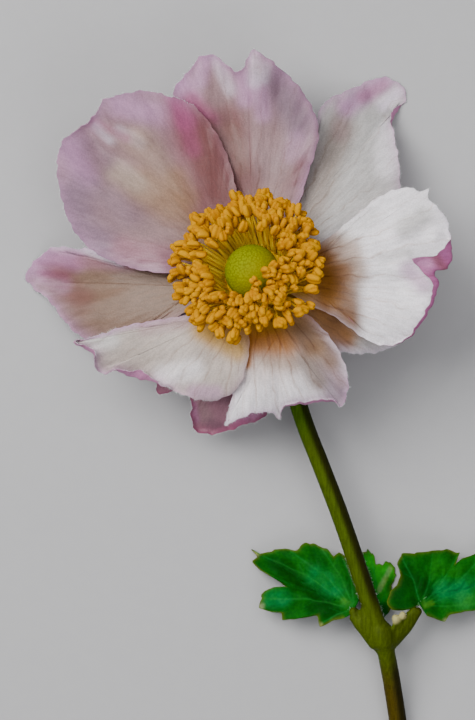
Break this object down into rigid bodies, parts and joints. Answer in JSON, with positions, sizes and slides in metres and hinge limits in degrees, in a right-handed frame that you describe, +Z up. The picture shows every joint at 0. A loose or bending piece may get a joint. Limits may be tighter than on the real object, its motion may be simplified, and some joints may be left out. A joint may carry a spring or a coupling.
{
  "type": "anemone flower",
  "caption": "Cut garden anemone bloom lying face up on its stem, with pale pink tepals, a yellow stamen ring round a green button, and lobed leaves at the stem's node.",
  "frame": {"origin": "middle of the bounding box at the height of the surface the flower lies on", "axes": "+Y from the cut end of the stem towards the bloom, +X to the right as seen from above, +Z up out of the surface"},
  "size_m": [0.0802, 0.1134, 0.0278],
  "materials": {
    "tepal": "satin petal, white with lilac-pink margins and fine brownish veins",
    "anther": "golden yellow pollen sacs on pale yellow filaments",
    "carpel": "olive-green button of finely pebbled carpels",
    "stem": "olive-green, reddish brown in places, with short pale hairs",
    "leaf": "deep green leaf with a soft sheen, lighter veins and toothed edges"
  },
  "bodies": {
    "root": {"stem": "stem", "carpel_head": "carpel", "stamens": "anther", "tepal_upper_left": "tepal", "tepal_top": "tepal", "tepal_upper_right": "tepal", "tepal_right": "tepal", "tepal_lower_right_back": "tepal", "tepal_bottom": "tepal", "tepal_bottom_back": "tepal", "tepal_lower_left": "tepal", "tepal_left": "tepal", "leaf_left": "leaf", "leaf_right": "leaf", "leaf_back": "leaf"}
  },
  "joints": []
}
